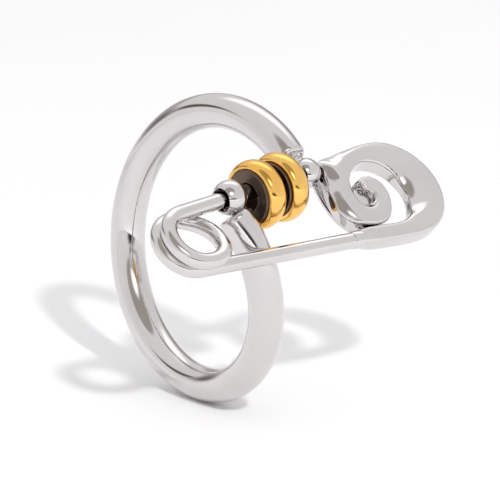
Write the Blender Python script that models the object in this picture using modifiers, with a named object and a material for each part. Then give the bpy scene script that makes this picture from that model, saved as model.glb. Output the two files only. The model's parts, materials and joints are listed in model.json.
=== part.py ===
"""Safety-pin finger ring: a helical wire hoop whose two drilled end balls carry
a coiled pin with a scroll clasp, and two gold-rimmed beads strung on its arm.

The finger's axis is X, Z is up and the pin is on the -Y side. The origin is the
centre of the hoop. Lengths are in millimetres, and MM turns them into metres.
"""
import math

import bmesh
import bpy
import numpy as np
from mathutils import Matrix, Vector

MM = 0.001
WELD = 0.000001

# Hoop: a round wire that climbs along the finger as it goes round.
HOOP_RADIUS = 10.0
HOOP_WIRE_RADIUS = 1.31
HOOP_START = -41.5
HOOP_END = 300.0
# Turn angle from the top, in degrees, and offset along the finger at that angle.
HOOP_OFFSETS = [(-42, 3.85), (0, 4.1), (90, 2.55), (180, 1.05), (240, -0.75), (300, -3.42)]
HOOP_POINTS = 73
HOOP_END_ROUNDING = 0.32

# Pin frame: X along the bar, Y from the bar to the arm, Z out of the clasp's face.
LEFT_BALL_CENTRE = (-3.49, -8.34, 6.22)
PIN_TILT = 43.3
LEFT_BALL_RADIUS = 1.3
RIGHT_BALL_RADIUS = 1.13
RIGHT_BALL_AT = (7.84, 0.69, 0.0)
BALL_BORE_RADIUS = 0.86
BORE_SAG = 0.08
NECK_RADIUS = 0.95
SEAT_GAP = 0.02

# Pin wire: arm, coil and bar.
WIRE_RADIUS = 0.6
TIP_RADIUS = 0.27
TIP_REACH = 10.6
TAPER_FROM = 8.0
TAPER_TO = 9.0
COIL_AT = (-4.91, -2.64)
# Turn angle along the coil, in degrees, with the wire's depth and its lift there.
COIL_DEPTHS = [
    (95, 0.0, 0.0), (150, 0.03, 0.0), (230, 0.14, 0.0), (302, 0.22, 0.0), (362, -0.5, 0.08),
    (420, -1.25, 0.25), (460, -1.29, 0.3), (530, -1.33, 0.3), (625, -1.24, 0.3), (650, -1.18, 0.3),
]
COIL_STEP = 12.0
BAR_GAP = 0.09
BAR_END = (8.55, -5.78, 0.40)

# Clasp: a scroll of thick strip. Each station has x and y of the strip's outer edge,
# then of its inner edge. Two arcs take both edges round the clasp's far end.
SCROLL_Z = 0.375
SCROLL_THICKNESS = 1.45
SCROLL_EDGE = 0.24
SCROLL_BOTTOM = [(8.6, -6.42, 8.6, -5.18), (10.9, -6.60, 10.5, -5.25), (12.6, -6.66, 11.7, -5.31)]
OUTER_ARC = (14.04, -2.50, 4.15)
INNER_ARC = (12.46, -2.60, 2.72)
SCROLL_CURL = [
    (12.4, 1.58, 11.6, -0.10), (10.6, 1.36, 10.95, -0.52), (8.97, 1.12, 10.45, -1.05),
    (8.80, -0.30, 10.18, -1.60), (8.27, -1.80, 10.02, -2.20), (8.12, -3.30, 10.06, -2.85),
    (8.85, -4.60, 10.35, -3.35), (10.4, -5.12, 10.75, -3.57), (11.7, -4.95, 11.20, -3.48),
    (12.6, -4.10, 11.60, -3.15), (13.1, -2.90, 11.70, -2.72), (13.0, -1.90, 11.52, -2.40),
    (12.4, -1.20, 11.30, -2.12), (11.6, -1.08, 11.20, -1.80), (10.9, -1.35, 11.00, -1.68),
]
POCKET_LOW = (8.2, 0.22, -1.0)
POCKET_HIGH = (11.1, 3.0, 0.36)

COLLAR_RADIUS = 0.74
COLLAR_LENGTH = 0.7

# Keeper: a leaf behind the scroll. Each station has y and z of the leaf's middle.
KEEPER_X = (9.05, 10.75)
KEEPER_THICKNESS = 0.5
KEEPER_STATIONS = [(-4.9, -0.62), (-4.2, -0.78), (-3.2, -1.16), (-2.0, -1.40), (-0.6, -1.42), (1.2, -1.25)]

# Beads: a gold rim round a black core with a loose bore.
BEAD_SPOTS = (2.70, 5.08)
BORE_RADIUS = 1.04
BEAD_HANG = 0.4
CORE_RADIUS = 2.03
CORE_HALF = 1.02
CORE_EDGE = 0.16
RIM_BORE = 2.06
RIM_RADIUS = 2.58
RIM_HALF = 0.84

STEEL = ((0.78, 0.77, 0.76, 1.0), 1.0, 0.12)
GOLD = ((0.93, 0.66, 0.25, 1.0), 1.0, 0.14)
BLACK = ((0.03, 0.028, 0.026, 1.0), 0.0, 0.32)


def clear_scene():
    for scene_object in list(bpy.data.objects):
        bpy.data.objects.remove(scene_object, do_unlink=True)


def make_collection(name):
    collection = bpy.data.collections.new(name)
    bpy.context.scene.collection.children.link(collection)
    return collection


def make_material(name, finish):
    colour, metallic, roughness = finish
    material = bpy.data.materials.new(name)
    material.use_nodes = True
    shader = material.node_tree.nodes["Principled BSDF"]
    shader.inputs["Base Color"].default_value = colour
    shader.inputs["Metallic"].default_value = metallic
    shader.inputs["Roughness"].default_value = roughness
    material.diffuse_color = colour
    return material


def move_to(piece, collection):
    for owner in list(piece.users_collection):
        owner.objects.unlink(piece)
    collection.objects.link(piece)


def finish_piece(piece, material_finish):
    piece.data.materials.clear()
    piece.data.materials.append(make_material(piece.name + "_material", material_finish))
    if piece.type == "MESH":
        piece.data.shade_smooth()
        piece.data.set_sharp_from_angle(angle=math.radians(40))
    return piece


def add_empty(name, location, rotation, parent, collection):
    empty = bpy.data.objects.new(name, None)
    empty.empty_display_size = 0.002
    empty.location = [value * MM for value in location]
    empty.rotation_euler = rotation
    empty.parent = parent
    collection.objects.link(empty)
    return empty


def mesh_piece(name, mesh, collection, parent=None):
    piece = bpy.data.objects.new(name, mesh)
    piece.parent = parent
    collection.objects.link(piece)
    return piece


def tube(name, points, radii, sides, collection, parent=None):
    """A round wire through the points, with capped ends, as a closed mesh."""
    curve = bpy.data.curves.new(name, "CURVE")
    curve.dimensions = "3D"
    curve.bevel_depth = MM
    curve.bevel_resolution = (sides - 4) // 2
    curve.use_fill_caps = True
    spline = curve.splines.new("POLY")
    spline.points.add(len(points) - 1)
    for spline_point, point, radius in zip(spline.points, points, radii):
        spline_point.co = (point[0] * MM, point[1] * MM, point[2] * MM, 1.0)
        spline_point.radius = radius
    wire = bpy.data.objects.new(name, curve)
    wire.parent = parent
    collection.objects.link(wire)
    bpy.context.view_layer.update()
    evaluated = wire.evaluated_get(bpy.context.evaluated_depsgraph_get())
    mesh = bpy.data.meshes.new_from_object(evaluated)
    matrix = wire.matrix_world.copy()
    bpy.data.objects.remove(wire, do_unlink=True)
    shell = bmesh.new()
    shell.from_mesh(mesh)
    bmesh.ops.remove_doubles(shell, verts=shell.verts, dist=WELD)
    bmesh.ops.recalc_face_normals(shell, faces=shell.faces)
    shell.to_mesh(mesh)
    shell.free()
    piece = mesh_piece(name, mesh, collection, parent)
    piece.matrix_world = matrix
    return piece


def ball(name, centre, radius, collection, parent=None):
    bpy.ops.mesh.primitive_uv_sphere_add(segments=32, ring_count=18, radius=radius * MM)
    piece = bpy.context.object
    piece.name = name
    move_to(piece, collection)
    piece.parent = parent
    piece.location = [value * MM for value in centre]
    return piece


def aligned(centre, direction):
    """A matrix that puts local Z along the direction, at the centre in millimetres."""
    turn = Vector(direction).to_track_quat("Z", "Y").to_matrix().to_4x4()
    return Matrix.Translation(Vector(centre) * MM) @ turn


def rod(name, start, end, radius, collection):
    start, end = Vector(start), Vector(end)
    bpy.ops.mesh.primitive_cylinder_add(vertices=32, radius=radius * MM, depth=(end - start).length * MM)
    piece = bpy.context.object
    piece.name = name
    move_to(piece, collection)
    piece.matrix_world = aligned((start + end) / 2, end - start)
    return piece


def turned(name, profile, matrix, steps, collection, parent=None):
    """A ring turned about local Z from a closed profile of radius and height."""
    mesh = bpy.data.meshes.new(name)
    outline = bmesh.new()
    corners = [outline.verts.new((radius * MM, 0.0, height * MM)) for radius, height in profile]
    for corner, following in zip(corners, corners[1:] + corners[:1]):
        outline.edges.new((corner, following))
    outline.to_mesh(mesh)
    outline.free()
    piece = mesh_piece(name, mesh, collection, parent)
    piece.matrix_world = matrix
    screw = piece.modifiers.new("Turn", "SCREW")
    screw.axis = "Z"
    screw.steps = steps
    screw.render_steps = steps
    screw.use_merge_vertices = True
    screw.merge_threshold = WELD
    screw.use_normal_calculate = True
    return piece


def block(name, low, high, collection, parent=None):
    bpy.ops.mesh.primitive_cube_add(size=1.0)
    piece = bpy.context.object
    piece.name = name
    move_to(piece, collection)
    piece.parent = parent
    piece.location = [(a + b) / 2 * MM for a, b in zip(low, high)]
    piece.scale = [(b - a) * MM for a, b in zip(low, high)]
    return piece


def cut(piece, cutter):
    cutter.hide_render = True
    cutter.display_type = "WIRE"
    boolean = piece.modifiers.new("Cut " + cutter.name, "BOOLEAN")
    boolean.operation = "DIFFERENCE"
    boolean.solver = "EXACT"
    boolean.object = cutter


def arc(centre, radius_along, radius_across, start, end, count):
    """Points on an elliptical arc in a turned profile, angles in degrees from outward."""
    points = []
    for step in range(count + 1):
        angle = math.radians(start + (end - start) * step / count)
        across = centre[0] + radius_across * math.cos(angle)
        along = centre[1] + radius_along * math.sin(angle)
        points.append((across, along))
    return points


def smooth_stations(stations, per_gap):
    """A Catmull-Rom curve through rows of numbers, end rows repeated."""
    rows = [np.array(stations[0])] + [np.array(row) for row in stations] + [np.array(stations[-1])]
    result = []
    for before, start, end, after in zip(rows, rows[1:], rows[2:], rows[3:]):
        for step in range(per_gap):
            t = step / per_gap
            result.append(0.5 * (2 * start + (end - before) * t
                                 + (2 * before - 5 * start + 4 * end - after) * t ** 2
                                 + (3 * start - before - 3 * end + after) * t ** 3))
    result.append(rows[-1])
    return np.array(result)


def hoop_points():
    angles, offsets = zip(*HOOP_OFFSETS)
    climb = np.polyfit(np.radians(angles), offsets, 4)
    points = []
    for angle in np.radians(np.linspace(HOOP_START, HOOP_END, HOOP_POINTS)):
        across = HOOP_RADIUS * math.sin(angle)
        height = HOOP_RADIUS * math.cos(angle)
        points.append((float(np.polyval(climb, angle)), across, height))
    return points


def rounded_ends(points, radius, rounding):
    """The wire's points and radii with both of its end edges rounded over."""
    points = [Vector(point) for point in points]
    radii = [radius] * len(points)
    for _ in range(2):
        end = points[-1]
        inward = (points[-2] - end).normalized()
        points.pop()
        radii.pop()
        for angle in (0.0, 30.0, 60.0, 90.0):
            turn = math.radians(angle)
            points.append(end + inward * rounding * (1.0 - math.sin(turn)))
            radii.append(radius - rounding * (1.0 - math.cos(turn)))
        points.reverse()
        radii.reverse()
    return points, radii


def make_hoop(points, balls, parts, cutters):
    points, radii = rounded_ends(points, HOOP_WIRE_RADIUS, HOOP_END_ROUNDING)
    hoop = tube("hoop", points, radii, 20, parts)
    for side, centre, radius in balls:
        cut(hoop, ball(side + "_seat_cutter", centre, radius + SEAT_GAP, cutters))
    return finish_piece(hoop, STEEL)


def make_end_ball(side, centre, radius, axis, parts, cutters):
    piece = ball(side + "_end_ball", centre, radius, parts)
    reach = Vector(axis) * (radius + 1.0)
    middle = Vector(centre) - Vector((0.0, 0.0, BORE_SAG))
    start, end = middle - reach, middle + reach
    cut(piece, rod(side + "_bore_cutter", start, end, BALL_BORE_RADIUS, cutters))
    return finish_piece(piece, STEEL)


def make_neck(points, centre, parts, cutters):
    """A short collar that fills the space between the hoop's end and the right ball."""
    hoop_end, inside, centre = Vector(points[0]), Vector(points[1]), Vector(centre)
    outward = (hoop_end - inside).normalized()
    neck = rod("right_neck", hoop_end - outward * 0.4, centre, NECK_RADIUS, parts)
    cut(neck, ball("neck_seat_cutter", centre, RIGHT_BALL_RADIUS + SEAT_GAP, cutters))
    face = hoop_end + outward * SEAT_GAP
    cut(neck, rod("neck_face_cutter", face, face - outward * 2.0, 3.0, cutters))
    return finish_piece(neck, STEEL)


def arm_direction():
    return Vector(RIGHT_BALL_AT).normalized()


def coil_radius():
    """Distance from the coil's centre to the arm's line, which the coil meets squarely."""
    centre = Vector((COIL_AT[0], COIL_AT[1], 0.0))
    return (centre - arm_direction() * centre.dot(arm_direction())).length


def make_arm(swing, parts):
    direction = arm_direction()
    start = Vector((COIL_AT[0], COIL_AT[1], 0.0)).dot(direction)
    stops = [(start, WIRE_RADIUS), (TAPER_FROM, WIRE_RADIUS), (TAPER_TO, TIP_RADIUS),
             (TIP_REACH - 0.25, TIP_RADIUS), (TIP_REACH - 0.07, TIP_RADIUS * 0.75),
             (TIP_REACH, TIP_RADIUS * 0.3)]
    points = [direction * reach for reach, _ in stops]
    radii = [radius for _, radius in stops]
    return finish_piece(tube("pin_arm", points, radii, 16, parts, swing), STEEL)


def coil_start_angle():
    return 90.0 + math.degrees(math.atan2(RIGHT_BALL_AT[1], RIGHT_BALL_AT[0]))


def coil_point(angle):
    """A point of the coil, whose second half lies behind the first and a little higher."""
    turns, depths, lifts = smooth_stations(COIL_DEPTHS, 6).T
    turn = math.radians(angle)
    across = COIL_AT[0] + coil_radius() * math.cos(turn)
    height = COIL_AT[1] + coil_radius() * math.sin(turn) + float(np.interp(angle, turns, lifts))
    return Vector((across, height, float(np.interp(angle, turns, depths))))


def coil_end_angle():
    """The bar leaves the coil where a line from the bar's end touches the coil's circle."""
    across = BAR_END[0] - COIL_AT[0]
    height = BAR_END[1] - COIL_AT[1] - COIL_DEPTHS[-1][2]
    reach = math.hypot(across, height)
    return 720.0 + math.degrees(math.atan2(height, across) - math.acos(coil_radius() / reach))


def make_coil(swing, parts):
    """One and a half turns of wire from the arm to the bar, the second behind the first."""
    first = coil_start_angle()
    last = coil_end_angle()
    count = int((last - first) / COIL_STEP)
    points = [coil_point(first + (last - first) * step / count) for step in range(count + 1)]
    points[0] = points[0] - arm_direction() * SEAT_GAP
    return finish_piece(tube("pin_coil", points, [WIRE_RADIUS] * len(points), 12, parts, swing), STEEL)


def bar_direction():
    return (Vector(BAR_END) - coil_point(coil_end_angle())).normalized()


def make_bar(opening, parts):
    """The straight lower bar, drawn from the coil's centre, which is its joint."""
    centre = Vector((COIL_AT[0], COIL_AT[1], 0.0))
    start = coil_point(coil_end_angle()) + bar_direction() * BAR_GAP - centre
    end = Vector(BAR_END) - centre
    points = [start, start.lerp(end, 0.5), end]
    return finish_piece(tube("pin_bar", points, [WIRE_RADIUS] * 3, 16, parts, opening), STEEL)


def make_collar(opening, parts):
    """A collar round the end of the bar, against the start of the scroll."""
    centre = Vector((COIL_AT[0], COIL_AT[1], 0.0))
    end = Vector(BAR_END) - centre
    bore = WIRE_RADIUS + SEAT_GAP
    half = COLLAR_LENGTH / 2
    profile = [(bore, half)] + arc((COLLAR_RADIUS - 0.1, 0.0), half, 0.1, 90, -90, 8) + [(bore, -half)]
    matrix = opening.matrix_world @ aligned(end - bar_direction() * (half + SEAT_GAP), bar_direction())
    return finish_piece(turned("bar_collar", profile, matrix, 32, parts, opening), STEEL)


def strip_section(width, thickness, edge, per_corner):
    """A rounded rectangle, as offsets across the strip and through its thickness."""
    section = []
    corners = [(1, 1, 0), (-1, 1, 90), (-1, -1, 180), (1, -1, 270)]
    radius = min(edge, width * 0.45)
    for side, face, start in corners:
        for step in range(per_corner + 1):
            angle = math.radians(start + 90.0 * step / per_corner)
            across = side * (width / 2 - radius) + radius * math.cos(angle)
            through = face * (thickness / 2 - radius) + radius * math.sin(angle)
            section.append((across, through))
    return section


def scroll_edges():
    """Rows of x and y on the strip's outer edge, then on its inner edge."""
    stations = list(SCROLL_BOTTOM)
    for angle in range(-90, 91, 20):
        turn = math.radians(angle)
        row = []
        for x, y, radius in (OUTER_ARC, INNER_ARC):
            row += [x + radius * math.cos(turn), y + radius * math.sin(turn)]
        stations.append(tuple(row))
    stations += SCROLL_CURL
    return smooth_stations(stations, 4)


def make_scroll(opening, parts, cutters):
    """The scroll is one strip that grows, turns inward and tapers to its curl."""
    centre = Vector((COIL_AT[0], COIL_AT[1], 0.0))
    shell = bmesh.new()
    rings = []
    for outer_x, outer_y, inner_x, inner_y in scroll_edges():
        outer, inner = Vector((outer_x, outer_y, SCROLL_Z)), Vector((inner_x, inner_y, SCROLL_Z))
        across_strip = (inner - outer).normalized()
        middle = (outer + inner) / 2 - centre
        ring = []
        for across, through in strip_section((inner - outer).length, SCROLL_THICKNESS, SCROLL_EDGE, 2):
            spot = middle + across_strip * across + Vector((0.0, 0.0, through))
            ring.append(shell.verts.new(spot * MM))
        rings.append(ring)
    for ring, following in zip(rings, rings[1:]):
        for index in range(len(ring)):
            after = (index + 1) % len(ring)
            shell.faces.new((ring[index], ring[after], following[after], following[index]))
    shell.faces.new(rings[0])
    shell.faces.new(list(reversed(rings[-1])))
    bmesh.ops.recalc_face_normals(shell, faces=shell.faces)
    mesh = bpy.data.meshes.new("clasp_scroll")
    shell.to_mesh(mesh)
    shell.free()
    scroll = mesh_piece("clasp_scroll", mesh, parts, opening)
    low = Vector(POCKET_LOW) - centre
    high = Vector(POCKET_HIGH) - centre
    cut(scroll, block("tip_pocket_cutter", low, high, cutters, opening))
    return finish_piece(scroll, STEEL)


def make_keeper(opening, parts):
    """A leaf that leaves the scroll's back low down and stands off it at the pin's tip."""
    centre = Vector((COIL_AT[0], COIL_AT[1], 0.0))
    rows = smooth_stations(KEEPER_STATIONS, 3)
    slopes = np.gradient(rows, axis=0)
    slopes /= np.linalg.norm(slopes, axis=1)[:, None]
    half = KEEPER_THICKNESS / 2
    shell = bmesh.new()
    front = [(y + half * slope_z * -1, z + half * slope_y) for (y, z), (slope_y, slope_z) in zip(rows, slopes)]
    back = [(y - half * slope_z * -1, z - half * slope_y) for (y, z), (slope_y, slope_z) in zip(rows, slopes)]
    corners = [Vector((KEEPER_X[0], y, z)) - centre for y, z in front + back[::-1]]
    face = shell.faces.new([shell.verts.new(corner * MM) for corner in corners])
    sweep = bmesh.ops.extrude_face_region(shell, geom=[face])
    moved = [item for item in sweep["geom"] if isinstance(item, bmesh.types.BMVert)]
    bmesh.ops.translate(shell, vec=((KEEPER_X[1] - KEEPER_X[0]) * MM, 0, 0), verts=moved)
    bmesh.ops.recalc_face_normals(shell, faces=shell.faces)
    mesh = bpy.data.meshes.new("clasp_keeper")
    shell.to_mesh(mesh)
    shell.free()
    keeper = mesh_piece("clasp_keeper", mesh, parts, opening)
    bevel = keeper.modifiers.new("Edges", "BEVEL")
    bevel.width = 0.08 * MM
    bevel.segments = 2
    bevel.limit_method = "ANGLE"
    bevel.angle_limit = math.radians(50)
    return finish_piece(keeper, STEEL)


def make_bead(side, spot, axis, frame, parts):
    """A core whose bore rests on top of the arm, and a rim that turns on the core."""
    down = Vector((0.0, 0.0, -1.0))
    down = (down - axis * down.dot(axis)).normalized()
    centre = frame @ (arm_direction() * spot * MM) / MM + down * BEAD_HANG
    matrix = aligned(centre, axis)
    shoulder = CORE_HALF - CORE_EDGE
    outer_top = arc((CORE_RADIUS - CORE_EDGE, shoulder), CORE_EDGE, CORE_EDGE, 90, 0, 3)
    inner_top = arc((BORE_RADIUS + CORE_EDGE, shoulder), CORE_EDGE, CORE_EDGE, 180, 90, 3)
    top = inner_top + outer_top
    core_profile = top + [(radius, -height) for radius, height in reversed(top)]
    core = turned(side + "_bead_core", core_profile, matrix, 48, parts)
    finish_piece(core, BLACK)
    bulge = arc((RIM_BORE + 0.04, 0.0), RIM_HALF, RIM_RADIUS - RIM_BORE - 0.04, 90, -90, 14)
    rim_profile = [(RIM_BORE, RIM_HALF)] + bulge + [(RIM_BORE, -RIM_HALF)]
    rim = turned(side + "_bead_rim", rim_profile, matrix, 48, parts)
    finish_piece(rim, GOLD)


def main():
    clear_scene()
    parts = make_collection("safety_pin_ring")
    cutters = make_collection("cutters")
    swing = add_empty("pin_swing_axis", LEFT_BALL_CENTRE, (math.radians(PIN_TILT), 0, 0), None, parts)
    opening = add_empty("pin_open_axis", (COIL_AT[0], COIL_AT[1], 0.0), (0, 0, 0), swing, parts)
    bpy.context.view_layer.update()
    frame = swing.matrix_world.copy()

    left_centre = Vector(LEFT_BALL_CENTRE)
    right_centre = frame @ (Vector(RIGHT_BALL_AT) * MM) / MM
    axis = (right_centre - left_centre).normalized()
    points = hoop_points()
    balls = [("left", left_centre, LEFT_BALL_RADIUS), ("right", right_centre, RIGHT_BALL_RADIUS)]
    make_hoop(points, balls, parts, cutters)
    for side, centre, radius in balls:
        make_end_ball(side, centre, radius, axis, parts, cutters)
    make_neck(points, right_centre, parts, cutters)

    make_arm(swing, parts)
    make_coil(swing, parts)
    make_bar(opening, parts)
    make_collar(opening, parts)
    make_scroll(opening, parts, cutters)
    make_keeper(opening, parts)
    for side, spot in zip(("left", "right"), BEAD_SPOTS):
        make_bead(side, spot, axis, frame, parts)


main()
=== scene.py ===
# %% [markdown]
# # A safety-pin ring in polished steel
# A finger ring whose hoop is closed by a safety pin. The pin runs through two drilled
# balls, carries two gold-rimmed beads, and ends in a clasp rolled up like a scroll. The
# CAD model says where everything is and how it moves. This lesson gives each piece the
# smooth surface and the polish that a jeweller would see.

# %% Load the frame
import json
import math

import bmesh
import bpy
import numpy as np
from mathutils import Matrix, Vector


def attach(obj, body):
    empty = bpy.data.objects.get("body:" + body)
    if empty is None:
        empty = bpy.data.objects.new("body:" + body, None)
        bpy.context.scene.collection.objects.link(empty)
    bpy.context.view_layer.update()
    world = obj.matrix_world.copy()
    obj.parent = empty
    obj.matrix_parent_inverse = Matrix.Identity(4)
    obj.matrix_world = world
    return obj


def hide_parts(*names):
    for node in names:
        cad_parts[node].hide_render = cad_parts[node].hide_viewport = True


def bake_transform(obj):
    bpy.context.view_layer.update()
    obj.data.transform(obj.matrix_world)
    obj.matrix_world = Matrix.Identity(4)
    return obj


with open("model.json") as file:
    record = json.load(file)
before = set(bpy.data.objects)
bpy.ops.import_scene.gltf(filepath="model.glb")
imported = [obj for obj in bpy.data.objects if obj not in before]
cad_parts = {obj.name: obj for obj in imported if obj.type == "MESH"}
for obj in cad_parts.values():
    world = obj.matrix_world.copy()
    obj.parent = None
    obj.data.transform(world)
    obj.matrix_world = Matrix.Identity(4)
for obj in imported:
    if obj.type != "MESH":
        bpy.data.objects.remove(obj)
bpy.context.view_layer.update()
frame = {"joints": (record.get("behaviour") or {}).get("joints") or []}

# %% [markdown]
# ## Where the pieces are
# The pin swings on its own straight arm and opens at its coil, so the two joints already
# give everything needed to place it. The arm starts at the centre of the left ball. X
# runs along the pin, Y from the bar to the arm, and Z out of the clasp's face. Working in
# that frame keeps the numbers flat and easy to check, and one matrix turns them back. The
# only measure that the joints don't give is how far apart the two balls are.

# %% The pin's own frame
MM = 0.001
BALL_SPACING = 7.8703
joints = {joint["name"]: joint for joint in frame["joints"]}
left_ball = Vector(joints["pin_swing"]["pos_m"]) / MM
arm_way = -Vector(joints["pin_swing"]["axis"]).normalized()
face_way = -Vector(joints["pin_open"]["axis"]).normalized()
coil_centre = Vector(joints["pin_open"]["pos_m"]) / MM

along = Vector((1, 0, 0))
pin_frame = Matrix((along, face_way.cross(along), face_way)).transposed().to_4x4()
pin_frame.translation = left_ball
to_pin = pin_frame.inverted()
arm_slope = to_pin.to_3x3() @ arm_way
coil_at = to_pin @ coil_centre
right_ball = left_ball + arm_way * BALL_SPACING
print("arm slope in the pin's frame:", [round(value, 4) for value in arm_slope])
print("coil centre in the pin's frame:", [round(value, 3) for value in coil_at])

# %% [markdown]
# ## The camera
# The ring is seen from its left and a little above, from far enough away that its two
# sides hardly converge. A long lens does that. The camera is placed by its turn round the
# ring, its height and its distance, and then slid sideways to put the ring in the frame.

# %% Camera
CAMERA_TURN = -42.0
CAMERA_HEIGHT = 14.0
CAMERA_DISTANCE = 400.0
CAMERA_SLIDE = (4.424, 0.208)
CAMERA_LENS = 391.85


def way_towards(turn_degrees, height_degrees):
    """The way from the ring to a place that is told by its turn round it and its height."""
    turn, lift = math.radians(turn_degrees), math.radians(height_degrees)
    return Vector((math.sin(turn) * math.cos(lift), -math.cos(turn) * math.cos(lift),
                   math.sin(lift)))


camera_back = way_towards(CAMERA_TURN, CAMERA_HEIGHT)
camera_right = Vector((math.cos(math.radians(CAMERA_TURN)), math.sin(math.radians(CAMERA_TURN)), 0))
camera_up = camera_back.cross(camera_right)
camera_spot = (camera_back * CAMERA_DISTANCE + camera_right * CAMERA_SLIDE[0]
               + camera_up * CAMERA_SLIDE[1])

camera_data = bpy.data.cameras.new("camera")
camera_data.lens = CAMERA_LENS
camera_data.clip_start = 0.01
camera_data.clip_end = 10.0
camera = bpy.data.objects.new("camera", camera_data)
camera.matrix_world = Matrix((camera_right, camera_up, camera_back)).transposed().to_4x4()
camera.location = camera_spot * MM
bpy.context.scene.collection.objects.link(camera)
bpy.context.scene.camera = camera
print("camera at", [round(value, 3) for value in camera.location])

# %% [markdown]
# ## Polished steel
# Stainless steel polished on a buffing wheel is nearly a mirror, with a warm grey tone.
# What keeps it from looking like a computer's mirror is what the buffing leaves behind:
# a faint haze in patches, and wipe marks too fine to see one by one. All of it is noise:
# one moves the tone, a finer one the roughness, and the finest tilts the surface a little.
# The gold plating and the blackened steel are the same recipe with their own tones.

# %% Helper: a node tree that starts from one shader
def new_finish(name):
    material = bpy.data.materials.new(name)
    material.use_nodes = True
    return material, material.node_tree, material.node_tree.nodes["Principled BSDF"]


def add_noise(tree, scale, detail, stretch=(1, 1, 1)):
    """Noise that is fixed to the piece, with its size in features per metre."""
    coordinates = tree.nodes.new("ShaderNodeTexCoord")
    mapping = tree.nodes.new("ShaderNodeMapping")
    mapping.inputs["Scale"].default_value = stretch
    noise = tree.nodes.new("ShaderNodeTexNoise")
    noise.inputs["Scale"].default_value = scale
    noise.inputs["Detail"].default_value = detail
    tree.links.new(coordinates.outputs["Object"], mapping.inputs["Vector"])
    tree.links.new(mapping.outputs["Vector"], noise.inputs["Vector"])
    return noise.outputs["Fac"]


def add_ramp(tree, source, stops):
    """Turns noise into a colour. Each stop is a place from 0 to 1 and a colour."""
    ramp = tree.nodes.new("ShaderNodeValToRGB")
    elements = ramp.color_ramp.elements
    for element, (place, colour) in zip(elements, (stops[0], stops[-1])):
        element.position = place
        element.color = (*colour, 1)
    for place, colour in stops[1:-1]:
        elements.new(place).color = (*colour, 1)
    tree.links.new(source, ramp.inputs["Fac"])
    return ramp.outputs["Color"]


def add_range(tree, source, low, high):
    spread = tree.nodes.new("ShaderNodeMapRange")
    spread.inputs["From Min"].default_value = 0.3
    spread.inputs["From Max"].default_value = 0.7
    spread.inputs["To Min"].default_value = low
    spread.inputs["To Max"].default_value = high
    tree.links.new(source, spread.inputs["Value"])
    return spread.outputs["Result"]


def add_bump(tree, shader, source, height, strength):
    bump = tree.nodes.new("ShaderNodeBump")
    bump.inputs["Distance"].default_value = height
    bump.inputs["Strength"].default_value = strength
    tree.links.new(source, bump.inputs["Height"])
    tree.links.new(bump.outputs["Normal"], shader.inputs["Normal"])


# %% Steel, gold and black
PATCHES_PER_METRE = 260
HAZE_PER_METRE = 700
WIPES_PER_METRE = 5200
WIPE_STRETCH = (1, 0.35, 0.35)
WIPE_STRENGTH = 0.25


def polished_metal(name, tones, smooth, hazy, wipe_height):
    """A buffed metal: patches of tone and haze, and fine wipe marks."""
    material, tree, shader = new_finish(name)
    shader.inputs["Metallic"].default_value = 1.0
    patches = add_noise(tree, PATCHES_PER_METRE, 3)
    tone = add_ramp(tree, patches, [(0.32, tones[0]), (0.68, tones[1])])
    tree.links.new(tone, shader.inputs["Base Color"])
    haze = add_noise(tree, HAZE_PER_METRE, 4)
    tree.links.new(add_range(tree, haze, smooth, hazy), shader.inputs["Roughness"])
    wipes = add_noise(tree, WIPES_PER_METRE, 2, WIPE_STRETCH)
    add_bump(tree, shader, wipes, wipe_height, WIPE_STRENGTH)
    return material


STEEL_TONES = ((0.66, 0.635, 0.63), (0.70, 0.678, 0.672))
GOLD_TONES = ((0.92, 0.53, 0.13), (0.96, 0.60, 0.18))
BLACK_TONES = ((0.13, 0.09, 0.07), (0.18, 0.13, 0.10))
steel = polished_metal("polished_steel", STEEL_TONES, smooth=0.05, hazy=0.09, wipe_height=1.2e-6)
gold = polished_metal("gold_plating", GOLD_TONES, smooth=0.08, hazy=0.13, wipe_height=2e-6)
black = polished_metal("blackened_steel", BLACK_TONES, smooth=0.28, hazy=0.40, wipe_height=5e-6)
print("finishes:", steel.name, gold.name, black.name)

# %% [markdown]
# ## A helper for round wire
# Most of the ring is drawn wire. A wire is a circle carried along a path, so the mesh is
# a row of rings. Blender's curves can do this too, but here the rings carry their own
# exact normals. That matters at the one place where two pieces of wire must look like
# one: with equal normals on both sides of a joint, a polished surface shows no seam.

# %% Helper: wire along a path
def carried_frames(points):
    """A tangent and two cross directions at each point, carried along without twisting."""
    points = [Vector(point) for point in points]
    frames = []
    side = None
    for index, point in enumerate(points):
        before, after = points[max(index - 1, 0)], points[min(index + 1, len(points) - 1)]
        tangent = (after - before).normalized()
        if side is None:
            side = tangent.orthogonal().normalized()
        side = (side - tangent * side.dot(tangent)).normalized()
        frames.append((point, tangent, side, tangent.cross(side)))
    return frames


def closed_mesh(name, rings):
    """A closed skin over a row of rings, with a flat cap on the first and the last."""
    shell = bmesh.new()
    rows = [[shell.verts.new(spot * MM) for spot in ring] for ring in rings]
    count = len(rows[0])
    for row, following in zip(rows, rows[1:]):
        for index in range(count):
            after = (index + 1) % count
            shell.faces.new((row[index], row[after], following[after], following[index]))
    shell.faces.new(list(reversed(rows[0])))
    shell.faces.new(rows[-1])
    bmesh.ops.recalc_face_normals(shell, faces=shell.faces)
    mesh = bpy.data.meshes.new(name)
    shell.to_mesh(mesh)
    shell.free()
    return mesh


def add_piece(name, mesh, material):
    piece = bpy.data.objects.new(name, mesh)
    bpy.context.scene.collection.objects.link(piece)
    mesh.materials.clear()
    mesh.materials.append(material)
    mesh.shade_smooth()
    return piece


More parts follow.
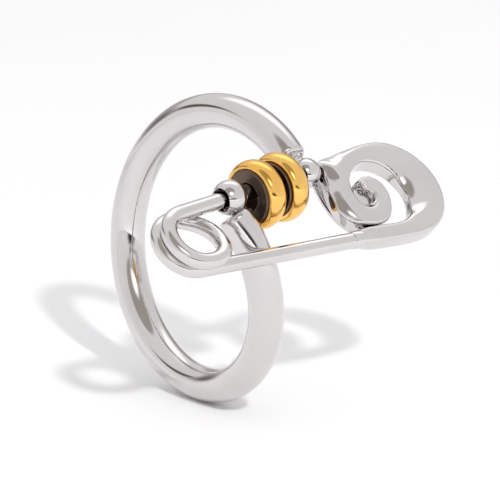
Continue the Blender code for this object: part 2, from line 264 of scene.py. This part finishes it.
def wire(name, points, radii, sides, material, matrix=None):
    """Round wire through the points, in millimetres, smooth all the way to its ends."""
    if matrix is not None:
        points = [matrix @ Vector(point) for point in points]
    rings = []
    normals = []
    frames = carried_frames(points)
    for index, ((point, tangent, side, other), radius) in enumerate(zip(frames, radii)):
        ahead, behind = min(index + 1, len(radii) - 1), max(index - 1, 0)
        run = (frames[ahead][0] - frames[behind][0]).length
        lean = (radii[behind] - radii[ahead]) / max(run, 1e-6)
        for step in range(sides):
            angle = 2 * math.pi * step / sides
            outward = side * math.cos(angle) + other * math.sin(angle)
            normals.append((outward + tangent * lean).normalized())
            rings.append(point + outward * radius)
    rows = [rings[start:start + sides] for start in range(0, len(rings), sides)]
    piece = add_piece(name, closed_mesh(name, rows), material)
    piece.data.normals_split_custom_set_from_vertices([tuple(normal) for normal in normals])
    return piece


# %% Helper: smooth curves through stations, and rounded wire ends
def smooth_rows(stations, per_gap):
    """A Catmull-Rom curve through rows of numbers, with the end rows repeated."""
    rows = [np.array(row, float) for row in (stations[0], *stations, stations[-1])]
    result = []
    for before, start, end, after in zip(rows, rows[1:], rows[2:], rows[3:]):
        for step in range(per_gap):
            t = step / per_gap
            result.append(0.5 * (2 * start + (end - before) * t
                                 + (2 * before - 5 * start + 4 * end - after) * t ** 2
                                 + (3 * start - before - 3 * end + after) * t ** 3))
    result.append(rows[-1])
    return np.array(result)


def rounded_end(points, radii, rounding, steps=6):
    """Replaces a wire's last point with a quarter turn that rounds its edge."""
    points, radii = list(points), list(radii)
    end, full = Vector(points.pop()), radii.pop()
    inward = (Vector(points[-1]) - end).normalized()
    while (Vector(points[-1]) - end).length < rounding:
        points.pop()
        radii.pop()
    for step in range(steps + 1):
        turn = math.radians(90 * step / steps)
        points.append(end + inward * rounding * (1 - math.sin(turn)))
        radii.append(full - rounding * (1 - math.cos(turn)))
    return points, radii


# %% [markdown]
# ## The hoop
# The hoop is one length of 2.6 mm round wire bent about a mandrel. It doesn't close: it
# climbs along the finger as it goes round, so that its ends pass each other and leave
# room for the pin between them. A helix with an uneven climb gives that. The climb is
# stated at six places round the turn, and a fourth-degree curve joins them smoothly.

# %% The hoop's path
HOOP_RADIUS = 10.0
HOOP_WIRE = 1.31
HOOP_TURN = (-41.5, 300.0)
HOOP_CLIMB = [(-42, 3.85), (0, 4.1), (90, 2.55), (180, 1.05), (240, -0.75), (300, -3.42)]
HOOP_END_ROUNDING = 0.34
HOOP_RINGS = 300
HOOP_SIDES = 64
CLIMB_DEGREE = 4

climb_turns, climb_offsets = zip(*HOOP_CLIMB)
climb = np.polyfit(np.radians(climb_turns), climb_offsets, CLIMB_DEGREE)
hoop_path = []
for turned_by in np.radians(np.linspace(*HOOP_TURN, HOOP_RINGS)):
    across, height = HOOP_RADIUS * math.sin(turned_by), HOOP_RADIUS * math.cos(turned_by)
    hoop_path.append(Vector((float(np.polyval(climb, turned_by)), across, height)))
hoop_radii = [HOOP_WIRE] * len(hoop_path)
for _ in range(2):
    hoop_path, hoop_radii = rounded_end(hoop_path, hoop_radii, HOOP_END_ROUNDING)
    hoop_path.reverse()
    hoop_radii.reverse()
hoop_wire = wire("hoop_wire", hoop_path, hoop_radii, HOOP_SIDES, steel)
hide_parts("hoop")
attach(hoop_wire, "hoop")
print("hoop wire:", len(hoop_wire.data.vertices), "points")

# %% [markdown]
# ## The end balls
# Each end of the hoop carries a drilled ball, and the pin's arm runs through both like a
# hinge pin. A drilled ball is a turned shape, so it is drawn as half of its section and
# spun with a Screw modifier: out along the bore, round a small countersink, and over the
# ball. The countersink is what catches the light round the hole.

# %% Helper: a piece turned about an axis
def matrix_along(centre, way):
    turn = Vector(way).to_track_quat("Z", "Y").to_matrix().to_4x4()
    return Matrix.Translation(Vector(centre) * MM) @ turn


CREASE_ANGLE = 50


def turned(name, outline, centre, way, material, steps=96):
    """Spins a closed outline of radius and height about an axis through the centre."""
    section = bmesh.new()
    corners = [section.verts.new((radius * MM, 0, height * MM)) for radius, height in outline]
    for corner, following in zip(corners, corners[1:] + corners[:1]):
        section.edges.new((corner, following))
    mesh = bpy.data.meshes.new(name)
    section.to_mesh(mesh)
    section.free()
    piece = bpy.data.objects.new(name, mesh)
    bpy.context.scene.collection.objects.link(piece)
    spin = piece.modifiers.new("Spin", "SCREW")
    spin.axis = "Z"
    spin.steps = steps
    spin.render_steps = steps
    spin.use_merge_vertices = True
    spin.merge_threshold = 1e-7
    spin.use_normal_calculate = True
    bpy.context.view_layer.update()
    evaluated = piece.evaluated_get(bpy.context.evaluated_depsgraph_get())
    result = bpy.data.meshes.new_from_object(evaluated)
    piece.modifiers.clear()
    piece.data = result
    result.transform(matrix_along(centre, way))
    result.materials.clear()
    result.materials.append(material)
    result.shade_smooth()
    result.set_sharp_from_angle(angle=math.radians(CREASE_ANGLE))
    return piece


def bend(centre, radius, start, end, steps):
    """Points on an arc of an outline. Angles are in degrees, from straight outward."""
    spots = []
    for step in range(steps + 1):
        angle = math.radians(start + (end - start) * step / steps)
        spots.append((centre[0] + radius * math.cos(angle), centre[1] + radius * math.sin(angle)))
    return spots


def drilled_ball(name, node, centre, radius, bore, sink):
    """A ball on the arm's line, drilled through, with both mouths countersunk."""
    mouth = math.degrees(math.acos((bore + sink) / radius))
    face = bend((0, 0), radius, mouth, -mouth, 48)
    depth = face[0][1] - sink
    inside = [(bore, -depth), (bore, -depth / 3), (bore, depth / 3), (bore, depth)]
    piece = turned(name, inside + face, centre, arm_way, steel)
    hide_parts(node)
    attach(piece, "hoop")
    return piece


# %% The two balls
BALL_BORE = 0.84
left_drilled = drilled_ball("left_drilled_ball", "left_end_ball", left_ball,
                            radius=1.3, bore=BALL_BORE, sink=0.07)
right_drilled = drilled_ball("right_drilled_ball", "right_end_ball", right_ball,
                             radius=1.13, bore=BALL_BORE, sink=0.05)
print("balls:", len(left_drilled.data.vertices) + len(right_drilled.data.vertices), "points")

# %% [markdown]
# ## The neck
# The right ball stands off the hoop's end on a short neck, which is turned with a waist
# so that it reads as a fitting and not as more wire. It starts inside the hoop's rounded
# end and ends inside the ball, as a brazed joint does.

# %% Neck
NECK_CORE = 0.05
NECK_FOOT = 0.98
NECK_TOP = 0.80
NECK_SUNK = 0.3
NECK_SHORT_OF_BALL = 0.7
NECK_WAIST = [(0.72, 0.34), (0.70, 0.46), (0.76, 0.58)]

neck_root = min(hoop_path[0], hoop_path[-1], key=lambda end: (end - right_ball).length)
neck_way = (right_ball - neck_root).normalized()
neck_length = (right_ball - neck_root).length
neck_end = neck_length - NECK_SHORT_OF_BALL
neck_outline = [(NECK_CORE, -NECK_SUNK), (NECK_FOOT, -NECK_SUNK), (NECK_FOOT, 0.10)]
neck_outline += bend((0.86, 0.16), 0.12, 0, 90, 4)
neck_outline += NECK_WAIST + [(NECK_TOP, neck_end), (NECK_CORE, neck_end)]
neck = turned("turned_neck", neck_outline, neck_root, neck_way, steel, 64)
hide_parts("right_neck")
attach(neck, "hoop")
print("neck is", round(neck_length, 2), "mm from the hoop's end to the ball's centre")

# %% [markdown]
# ## The pin's wire
# Arm, coil and bar are one spring wire, which bends in its coil when the pin opens.
# Here the arm and the coil make one mesh, and the bar is a piece of its own.

# %% The pin's path
PIN_WIRE = 0.6
PIN_SIDES = 40
BAR_END = Vector((8.55, -5.78, 0.40))
COIL_DEPTHS = [  # turn in degrees, how far in front of the arm, and lift towards it
    (95, 0.0, 0.0), (150, 0.03, 0.0), (230, 0.14, 0.0), (302, 0.22, 0.0), (362, -0.5, 0.08),
    (420, -1.25, 0.25), (460, -1.29, 0.3), (530, -1.33, 0.3), (625, -1.24, 0.3), (650, -1.18, 0.3),
]
coil_turns, coil_depths, coil_lifts = smooth_rows(COIL_DEPTHS, 12).T
arm_foot = arm_slope * coil_at.dot(arm_slope)
coil_radius = (coil_at - arm_foot).length


def coil_spot(angle):
    """A point of the coil in the pin's frame, at a turn in degrees."""
    turn = math.radians(angle)
    lifted = float(np.interp(angle, coil_turns, coil_lifts))
    depth = float(np.interp(angle, coil_turns, coil_depths))
    return Vector((coil_at.x + coil_radius * math.cos(turn),
                   coil_at.y + coil_radius * math.sin(turn) + lifted, depth))


coil_first = 90 + math.degrees(math.atan2(arm_slope.y, arm_slope.x))
bar_rise = BAR_END.y - coil_at.y - COIL_DEPTHS[-1][2]
bar_run = BAR_END.x - coil_at.x
leaving = math.atan2(bar_rise, bar_run) - math.acos(coil_radius / math.hypot(bar_run, bar_rise))
coil_last = 720 + math.degrees(leaving)
print("coil radius", round(coil_radius, 3), "mm")
print("coil from", round(coil_first, 1), "to", round(coil_last, 1), "degrees")

# %% Arm and coil
TIP_REACH = 10.6
TIP_WIRE = 0.27
TIP_ROUNDING = [(0.0, 0.02), (0.02, 0.1), (0.07, 0.17), (0.16, 0.23), (0.3, TIP_WIRE)]
TAPER = (8.0, 9.0)
COIL_STEP = 2.5

foot_reach = coil_at.dot(arm_slope)
arm_stops = [(TIP_REACH - back, radius) for back, radius in TIP_ROUNDING]
arm_stops += [(reach, TIP_WIRE) for reach in np.linspace(TIP_REACH - 0.5, TAPER[1] + 0.1, 6)]
for share in np.linspace(0, 1, 12):
    eased = share * share * (3 - 2 * share)
    arm_stops.append((TAPER[1] + (TAPER[0] - TAPER[1]) * share,
                      TIP_WIRE + (PIN_WIRE - TIP_WIRE) * eased))
arm_stops += [(reach, PIN_WIRE) for reach in np.linspace(TAPER[0] - 0.2, foot_reach + 0.1, 60)]
pin_path = [arm_slope * reach for reach, _ in arm_stops]
pin_radii = [radius for _, radius in arm_stops]
coil_angles = np.arange(coil_first, coil_last - 1.0, COIL_STEP).tolist() + [coil_last]
pin_path += [coil_spot(angle) for angle in coil_angles]
pin_radii += [PIN_WIRE] * len(coil_angles)
pin_wire = wire("pin_wire", pin_path, pin_radii, PIN_SIDES, steel, pin_frame)
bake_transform(pin_wire)
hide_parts("pin_arm", "pin_coil")
print("pin wire:", len(pin_path), "rings")

# %% Bar
BAR_RINGS = 60
bar_start = coil_spot(coil_last)
bar_points = [bar_start.lerp(BAR_END, share) for share in np.linspace(0, 1, BAR_RINGS)]
bar_wire = wire("bar_wire", bar_points, [PIN_WIRE] * BAR_RINGS, PIN_SIDES, steel, pin_frame)
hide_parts("pin_bar")
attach(bar_wire, "clasp")
bar_way = (BAR_END - bar_start).normalized()
print("bar:", round((BAR_END - bar_start).length, 2), "mm long")

# %% [markdown]
# ## The collar
# A collar hides the place where the bar is brazed to the clasp. It stands less than a
# tenth of a millimetre proud of the wire. A ring with square edges would read as a nut, so
# the outline is half an oval, as filing and buffing leave it.

# %% Collar
COLLAR_HALF = 0.5
COLLAR_BACK = 0.2
COLLAR_BORE = 0.58
COLLAR_SWELL = 0.07
COLLAR_STEPS = 16
collar_outline = [(COLLAR_BORE, -COLLAR_HALF)]
for step in range(COLLAR_STEPS + 1):
    angle = math.radians(-90 + 180 * step / COLLAR_STEPS)
    swelling = PIN_WIRE + COLLAR_SWELL * math.cos(angle)
    collar_outline.append((swelling, COLLAR_HALF * math.sin(angle)))
collar_outline += [(COLLAR_BORE, COLLAR_HALF)]
collar_centre = pin_frame @ (BAR_END - bar_way * COLLAR_BACK)
collar_way = pin_frame.to_3x3() @ bar_way
collar = turned("grooved_collar", collar_outline, collar_centre, collar_way, steel, 64)
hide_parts("bar_collar")
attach(collar, "clasp")
print("collar:", round(2 * COLLAR_HALF, 2), "mm long")

# %% [markdown]
# ## The scroll
# The clasp is one thick strip that runs on from the bar, sweeps round in a wide bow,
# comes back over itself and curls up. Each station states where the strip's outer and
# inner edges are, so the width follows by itself. The section is a rounded rectangle
# with a slight crown, because hand polishing always rounds a flat face off a little. The
# rounding of each front edge changes along the strip: where a file has taken more off, on
# the left edge and inside the bow, it reaches far across the face like a slope.

# %% The scroll's edges
SCROLL_Z = 0.375
SCROLL_THICKNESS = 1.45
SCROLL_CROWN = 0.06
ROWS_PER_GAP = 10
SCROLL_BOTTOM = [  # outer x and y, then inner x and y
    (8.6, -6.42, 8.6, -5.18), (10.9, -6.60, 10.5, -5.25), (12.6, -6.66, 11.7, -5.31),
]
OUTER_BOW = (14.04, -2.50, 4.15)
INNER_BOW = (12.46, -2.60, 2.72)
SCROLL_CURL = [
    (12.4, 1.58, 11.6, -0.10), (10.6, 1.36, 10.95, -0.52), (8.97, 1.12, 10.45, -1.05),
    (8.80, -0.30, 10.18, -1.60), (8.27, -1.80, 10.02, -2.20), (8.12, -3.30, 10.06, -2.85),
    (8.85, -4.60, 10.35, -3.35), (10.4, -5.12, 10.75, -3.57), (11.7, -4.95, 11.20, -3.48),
    (12.6, -4.10, 11.60, -3.15), (13.1, -2.90, 11.70, -2.72), (13.0, -1.90, 11.52, -2.40),
    (12.4, -1.20, 11.30, -2.12), (11.6, -1.08, 11.20, -1.80), (10.9, -1.35, 11.00, -1.68),
]
scroll_stations = list(SCROLL_BOTTOM)
for angle in range(-90, 91, 20):
    turn = math.radians(angle)
    row = []
    for x, y, radius in (OUTER_BOW, INNER_BOW):
        row += [x + radius * math.cos(turn), y + radius * math.sin(turn)]
    scroll_stations.append(tuple(row))
scroll_stations += SCROLL_CURL
scroll_rows = smooth_rows(scroll_stations, ROWS_PER_GAP)
print("scroll:", len(scroll_rows), "sections")

# %% Helper: the strip's section
CORNER_STEPS = 12
WIDEST_REACH = 0.7
DEEPEST = 0.45
SLOPE_REACHES = (0.3, 0.9)
SLOPE_POWERS = (1.0, 1.45)


def strip_section(width, thickness, outer_edge, inner_edge, back_edge, crown):
    """A rounded rectangle, as offsets across the strip and out of its face. Each edge's
    rounding is told as how far it reaches across the face and how deep it goes. A wide
    rounding is flatter in its middle, like a filed slope with its corners rubbed off."""
    section = []
    corners = ((1, 1, 0, inner_edge), (-1, 1, 90, outer_edge),
               (-1, -1, 180, back_edge), (1, -1, 270, back_edge))
    for side, face, start, (reach, depth) in corners:
        reach, depth = min(reach, width * WIDEST_REACH), min(depth, thickness * DEEPEST)
        slope = float(np.interp(reach, SLOPE_REACHES, SLOPE_POWERS))
        for step in range(CORNER_STEPS + 1):
            angle = math.radians(start + 90 / CORNER_STEPS * step)
            outward, upward = abs(math.cos(angle)) ** slope, abs(math.sin(angle)) ** slope
            section.append([side * (width / 2 - reach + reach * outward),
                            face * (thickness / 2 - depth + depth * upward)])
    for spot in section:
        if spot[1] > 0:
            spot[1] -= crown * (2 * spot[0] / width) ** 2
    return section


# %% Helper: a pocket cut out of a piece
def cut_box(piece, low, high):
    """Cuts a box, given in the pin's frame, out of a piece."""
    shell = bmesh.new()
    bmesh.ops.create_cube(shell, size=1.0)
    for vert in shell.verts:
        vert.co = [start + (end - start) * (share + 0.5)
                   for start, end, share in zip(low, high, vert.co)]
        vert.co = (pin_frame @ vert.co) * MM
    mesh = bpy.data.meshes.new("pocket")
    shell.to_mesh(mesh)
    shell.free()
    cutter = bpy.data.objects.new("pocket", mesh)
    bpy.context.scene.collection.objects.link(cutter)
    boolean = piece.modifiers.new("Pocket", "BOOLEAN")
    boolean.operation = "DIFFERENCE"
    boolean.solver = "EXACT"
    boolean.object = cutter
    bpy.context.view_layer.update()
    evaluated = piece.evaluated_get(bpy.context.evaluated_depsgraph_get())
    result = bpy.data.meshes.new_from_object(evaluated)
    piece.modifiers.clear()
    piece.data = result
    bpy.data.objects.remove(cutter, do_unlink=True)


# %% The scroll's mesh
SCROLL_ROOT = 0.84
ROOT_ROWS = 5
SOFT_EDGE = (0.2, 0.2)
OUTER_EDGES = [  # station, how far the rounding reaches across the face, and how deep it goes
    (0, 0.30, 0.30), (12, 0.35, 0.30), (13.8, 0.6, 0.42), (14.6, 1.2, 0.65), (16, 1.1, 0.65),
    (18, 0.8, 0.62), (19.5, 0.4, 0.4), (21, 0.25, 0.25), (27, 0.25, 0.25),
]
INNER_EDGES = [
    (0, 0.20, 0.20), (4.5, 0.4, 0.3), (6, 1.4, 0.5), (7.8, 1.4, 0.5), (8.9, 0.6, 0.4),
    (10.5, 0.3, 0.3), (13, 0.22, 0.22), (27, 0.3, 0.3),
]
POCKET = ((8.2, 0.22, -1.0), (11.1, 3.0, 0.36))


def edge_at(edges, station):
    """The rounding's reach and depth at a station."""
    stations, reaches, depths = zip(*edges)
    return float(np.interp(station, stations, reaches)), float(np.interp(station, stations, depths))


scroll_rings = []
for index, (outer_x, outer_y, inner_x, inner_y) in enumerate(scroll_rows):
    station = index / ROWS_PER_GAP
    outer, inner = Vector((outer_x, outer_y, SCROLL_Z)), Vector((inner_x, inner_y, SCROLL_Z))
    across_strip, middle = (inner - outer).normalized(), (outer + inner) / 2
    taper = min(1.0, SCROLL_ROOT + (1 - SCROLL_ROOT) * index / ROOT_ROWS)
    section = strip_section((inner - outer).length, SCROLL_THICKNESS, edge_at(OUTER_EDGES, station),
                            edge_at(INNER_EDGES, station), SOFT_EDGE, SCROLL_CROWN)
    ring = []
    for across, through in section:
        offset = across_strip * across + Vector((0, 0, through))
        ring.append(pin_frame @ (middle + offset * taper))
    scroll_rings.append(ring)
scroll = add_piece("scroll_strip", closed_mesh("scroll_strip", scroll_rings), steel)
cut_box(scroll, *POCKET)
print("scroll with its pocket:", len(scroll.data.vertices), "points")

# %% [markdown]
# ## The middle of the curl
# Where the strip ends, its curl has a small raised lip over a sunk floor. A boolean could
# sink the floor into a solid curl. The curl is open here, so a low disc that fills it
# below the face does the same, and a thin wire bent from two arcs, a hook and a bowl,
# stands on it as the lip. Both become part of the scroll's own mesh and move with it.

# %% The curl's lip and floor
LIP_HOOK = (11.36, -1.90, 0.28, 0, 235)
LIP_BOWL = (10.97, -2.82, 0.72, 62, -110)
LIP_HEIGHT = 1.03
LIP_WIRE = 0.13
LIP_SIDES = 20
LIP_TIP_SHARE = 0.3
LIP_TIP_GROWTH = 0.12
FLOOR_SPOT = (11.05, -2.50)
FLOOR_SIDES = 48
FLOOR_OUTLINE = [
    (0.85, -0.1), (0.85, 0.50), (0.82, 0.57), (0.74, 0.61), (0.40, 0.64), (0.05, 0.65),
]
lip_stations = []
for x, y, radius, start, end in (LIP_HOOK, LIP_BOWL):
    lip_stations += bend((x, y), radius, start, end, 6)
lip_points = [Vector((x, y, LIP_HEIGHT)) for x, y in smooth_rows(lip_stations, 5)]
lip_radii = []
for index in range(len(lip_points)):
    from_tip = min(index, len(lip_points) - 1 - index)
    lip_radii.append(LIP_WIRE * min(1.0, LIP_TIP_SHARE + LIP_TIP_GROWTH * from_tip))
lip = wire("curl_lip", lip_points, lip_radii, LIP_SIDES, steel, pin_frame)
floor_rings = []
for radius, height in FLOOR_OUTLINE:
    ring = []
    for angle in np.linspace(0, 2 * math.pi, FLOOR_SIDES, endpoint=False):
        ring.append(pin_frame @ Vector((FLOOR_SPOT[0] + math.cos(angle) * radius,
                                        FLOOR_SPOT[1] + math.sin(angle) * radius, height)))
    floor_rings.append(ring)
curl_floor = closed_mesh("curl_floor", floor_rings)
print("lip and floor:", len(lip.data.vertices) + len(curl_floor.vertices), "points")

# %% The scroll in one mesh
STRIP_CREASE = 40
joined = bmesh.new()
for mesh in (scroll.data, lip.data, curl_floor):
    joined.from_mesh(mesh)
for face in joined.faces:
    face.material_index = 0
joined.to_mesh(scroll.data)
joined.free()
bpy.data.objects.remove(lip, do_unlink=True)
scroll.data.shade_smooth()
scroll.data.set_sharp_from_angle(angle=math.radians(STRIP_CREASE))
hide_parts("clasp_scroll")
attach(scroll, "clasp")
print("whole scroll:", len(scroll.data.vertices), "points")

# %% [markdown]
# ## The keeper
# Behind the scroll's left edge a leaf of sheet leaves the back and stands off it, and the
# pin's tip drops between the two. It is drawn as a bent strip whose sides bulge, with
# its edges rounded like the scroll's.

# %% Keeper
KEEPER_THICKNESS = 0.48
KEEPER_CROWN = 0.02
KEEPER_ROWS = [  # y and z of the middle, then the two sides
    (-4.9, -0.62, 9.35, 10.7), (-4.2, -0.78, 9.2, 10.75), (-3.2, -1.16, 9.08, 10.75),
    (-2.0, -1.40, 9.05, 10.75), (-0.6, -1.42, 9.08, 10.72), (1.2, -1.25, 9.2, 10.6),
]
keeper_rows = smooth_rows(KEEPER_ROWS, ROWS_PER_GAP)
keeper_rings = []
for index, (y, z, low_x, high_x) in enumerate(keeper_rows):
    before = keeper_rows[max(index - 1, 0)]
    after = keeper_rows[min(index + 1, len(keeper_rows) - 1)]
    climb_way = Vector((0, after[0] - before[0], after[1] - before[1])).normalized()
    out_way = along.cross(climb_way)
    section = strip_section(high_x - low_x, KEEPER_THICKNESS, SOFT_EDGE, SOFT_EDGE, SOFT_EDGE,
                            KEEPER_CROWN)
    ring = []
    for across, through in section:
        ring.append(pin_frame @ (Vector(((low_x + high_x) / 2 + across, y, z)) + out_way * through))
    keeper_rings.append(ring)
keeper = add_piece("keeper_leaf", closed_mesh("keeper_leaf", keeper_rings), steel)
keeper.data.set_sharp_from_angle(angle=math.radians(STRIP_CREASE))
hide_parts("clasp_keeper")
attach(keeper, "clasp")
print("keeper:", len(keeper.data.vertices), "points")

# %% [markdown]
# ## The beads
# Each bead is a blackened core with a loose hole, and a gold-plated rim round it. Both
# are lathe work. The core has a dished face, and a small chamfer at its bore that catches
# the light. The rim is a fat ring whose outside is half an ellipse. The hole is wider than
# the arm, so each bead hangs a little below the arm's line, as it does under its weight.

# %% Beads
BEAD_SPOTS = {"left": 2.70, "right": 5.08}
BEAD_HANG = 0.4
BEAD_STEPS = 128
BORE = 1.04
CORE = (2.03, 0.96)
RIM = (2.06, 2.58, 0.79)
RIM_STEPS = 40
down = Vector((0, 0, -1))
down = (down - arm_way * down.dot(arm_way)).normalized()


def core_outline():
    """Half of a core's section: bore, chamfer, dished face and rounded shoulder."""
    top = [(BORE, CORE[1] - 0.14)] + bend((BORE + 0.10, CORE[1] - 0.12), 0.10, 180, 90, 6)
    top += [(BORE + 0.3, CORE[1] - 0.05), (CORE[0] - 0.35, CORE[1] - 0.03)]
    top += bend((CORE[0] - 0.14, CORE[1] - 0.14), 0.14, 90, 0, 6)
    return top + [(radius, -height) for radius, height in reversed(top)]


def rim_outline():
    """Half of a rim's section: a flat bore and a full, round outside."""
    bore, outside, half = RIM
    land = bore + 0.03
    outline = []
    for step in range(RIM_STEPS + 1):
        angle = math.radians(90 - 180 * step / RIM_STEPS)
        outline.append((land + (outside - land) * math.cos(angle), half * math.sin(angle)))
    return [(bore, half - 0.02)] + outline + [(bore, -half + 0.02)]


for side, spot in BEAD_SPOTS.items():
    centre = left_ball + arm_way * spot + down * BEAD_HANG
    core = turned(side + "_core", core_outline(), centre, arm_way, black, BEAD_STEPS)
    rim = turned(side + "_rim", rim_outline(), centre, arm_way, gold, BEAD_STEPS)
    for piece, node, body in ((core, "_bead_core", "_bead"), (rim, "_bead_rim", "_rim")):
        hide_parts(side + node)
        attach(piece, side + body)
    print(side, "bead at", [round(value, 2) for value in centre])

# %% [markdown]
# ## The paper
# The ring stands on a large sheet of white paper. Paper has no gloss, so the shader's
# specular level is zero, and only a very slow noise keeps its tone from being one number.

# %% Floor
FLOOR_Z = -11.31
FLOOR_GAP = 0.02
FLOOR_SIZE = 3.0
PAPER_TONES = [(0.3, (0.9, 0.9, 0.905)), (0.7, (0.915, 0.915, 0.92))]
floor_shell = bmesh.new()
bmesh.ops.create_grid(floor_shell, x_segments=1, y_segments=1, size=FLOOR_SIZE)
floor_mesh = bpy.data.meshes.new("floor")
floor_shell.to_mesh(floor_mesh)
floor_shell.free()
floor = bpy.data.objects.new("floor", floor_mesh)
floor.location.z = (FLOOR_Z - FLOOR_GAP) * MM
bpy.context.scene.collection.objects.link(floor)
paper, paper_tree, paper_shader = new_finish("white_paper")
paper_shader.inputs["Roughness"].default_value = 0.9
paper_shader.inputs["Specular IOR Level"].default_value = 0.0
paper_tone = add_ramp(paper_tree, add_noise(paper_tree, 30, 2), PAPER_TONES)
paper_tree.links.new(paper_tone, paper_shader.inputs["Base Color"])
floor_mesh.materials.append(paper)
print("floor at", round(floor.location.z / MM, 2), "mm")


# %% [markdown]
# ## The studio
# Polished metal shows the room more than itself, so the room is most of the finish. A
# white tent makes the ring mostly white. One small lamp, high on the camera's right,
# throws the soft shadows. It is hidden from reflections, and a wide glow takes its place
# there, which gives broad highlights instead of a hard white dot. Grey walls, a panel
# above the camera and a dark gap beside it draw the darker shapes that let a white object
# stand out from white paper. Real studios use cards for this. Here each one is an oval
# that fades out at its rim, and that shows in reflections only.

# %% Helper: lamps and cards
def add_lamp(name, turn_degrees, height_degrees, distance, size, power):
    """A round soft lamp that points at the ring."""
    data = bpy.data.lights.new(name, "AREA")
    data.shape = "DISK"
    data.size = size
    data.energy = power
    lamp = bpy.data.objects.new(name, data)
    way = way_towards(turn_degrees, height_degrees)
    lamp.location = way * distance
    lamp.rotation_mode = "QUATERNION"
    lamp.rotation_quaternion = way.to_track_quat("Z", "Y")
    bpy.context.scene.collection.objects.link(lamp)
    return lamp


def add_card(name, distance, turn_degrees, height_degrees, width_degrees, tall_degrees, shade,
             softness):
    """An oval card that shows only in reflections, with soft edges. Its place is told as
    a turn from the camera and a height, and its size as the angle that it fills."""
    shell = bmesh.new()
    bmesh.ops.create_grid(shell, x_segments=1, y_segments=1, size=0.5)
    mesh = bpy.data.meshes.new(name)
    shell.to_mesh(mesh)
    shell.free()
    card = bpy.data.objects.new(name, mesh)
    way = way_towards(CAMERA_TURN + turn_degrees, height_degrees)
    card.location = way * distance
    wide, tall = (2 * distance * math.tan(math.radians(span / 2))
                  for span in (width_degrees, tall_degrees))
    card.scale = (wide, tall, 1)
    card.rotation_mode = "QUATERNION"
    card.rotation_quaternion = way.to_track_quat("Z", "Y")
    bpy.context.scene.collection.objects.link(card)
    finish, tree, shader = new_finish(name)
    lighter = tuple(value * 1.1 for value in shade)
    tone = add_ramp(tree, add_noise(tree, 6, 2), [(0.3, shade), (0.7, lighter)])
    shader.inputs["Base Color"].default_value = (0, 0, 0, 1)
    shader.inputs["Specular IOR Level"].default_value = 0.0
    shader.inputs["Emission Strength"].default_value = 1.0
    tree.links.new(tone, shader.inputs["Emission Color"])
    oval = tree.nodes.new("ShaderNodeTexGradient")
    oval.gradient_type = "SPHERICAL"
    spread = tree.nodes.new("ShaderNodeMapping")
    spread.inputs["Scale"].default_value = (2, 2, 2)
    tree.links.new(tree.nodes.new("ShaderNodeTexCoord").outputs["Object"], spread.inputs["Vector"])
    tree.links.new(spread.outputs["Vector"], oval.inputs["Vector"])
    edge = tree.nodes.new("ShaderNodeMapRange")
    edge.interpolation_type = "SMOOTHSTEP"
    edge.inputs["From Max"].default_value = softness
    tree.links.new(oval.outputs["Fac"], edge.inputs["Value"])
    tree.links.new(edge.outputs["Result"], shader.inputs["Alpha"])
    mesh.materials.append(finish)
    card.visible_camera = card.visible_diffuse = card.visible_shadow = False
    return card


# %% Lamp and cards
key_lamp = add_lamp("key_lamp", turn_degrees=-23, height_degrees=36, distance=0.6, size=0.035,
                    power=1.85)
key_lamp.visible_glossy = False
CARDS = [  # name, distance, turn, height, width, tallness, shade and softness
    ("wall_left", 1.3, -150, 12, 80, 26, (0.46, 0.44, 0.42), 0.7),
    ("wall_dark", 1.2, -126, 12, 44, 22, (0.20, 0.18, 0.165), 0.9),
    ("wall_right", 1.3, 158, 19, 60, 30, (0.36, 0.34, 0.32), 0.6),
    ("far_left", 1.2, -104, 20, 40, 14, (0.14, 0.12, 0.10), 0.6),
    ("front_panel", 1.3, -5, 49, 72, 70, (0.42, 0.39, 0.36), 0.25),
    ("front_gap", 1.2, 22, 0, 64, 24, (0.012, 0.01, 0.008), 0.7),
    ("lamp_glow", 1.1, 14, 37, 40, 36, (1.9, 1.9, 1.9), 0.8),
    ("top_back", 1.3, 174, 56, 70, 40, (1.5, 1.5, 1.5), 0.6),
]
for card in CARDS:
    add_card(*card)
print("lamp power", key_lamp.data.energy, "and", len(CARDS), "cards")

# %% Tent
SKY_TONES = [(0.0, (0.96, 0.95, 0.96)), (0.4, (0.86, 0.85, 0.86)), (1.0, (0.9, 0.89, 0.9))]
world = bpy.data.worlds.new("tent")
world.use_nodes = True
sky = world.node_tree
sky_height = sky.nodes.new("ShaderNodeSeparateXYZ")
sky.links.new(sky.nodes.new("ShaderNodeTexCoord").outputs["Generated"], sky_height.inputs["Vector"])
sky_tone = add_ramp(sky, sky_height.outputs["Z"], SKY_TONES)
sky.links.new(sky_tone, sky.nodes["Background"].inputs["Color"])
bpy.context.scene.world = world
bpy.context.scene.view_settings.view_transform = "Standard"
print("tent in", len(SKY_TONES), "tones")
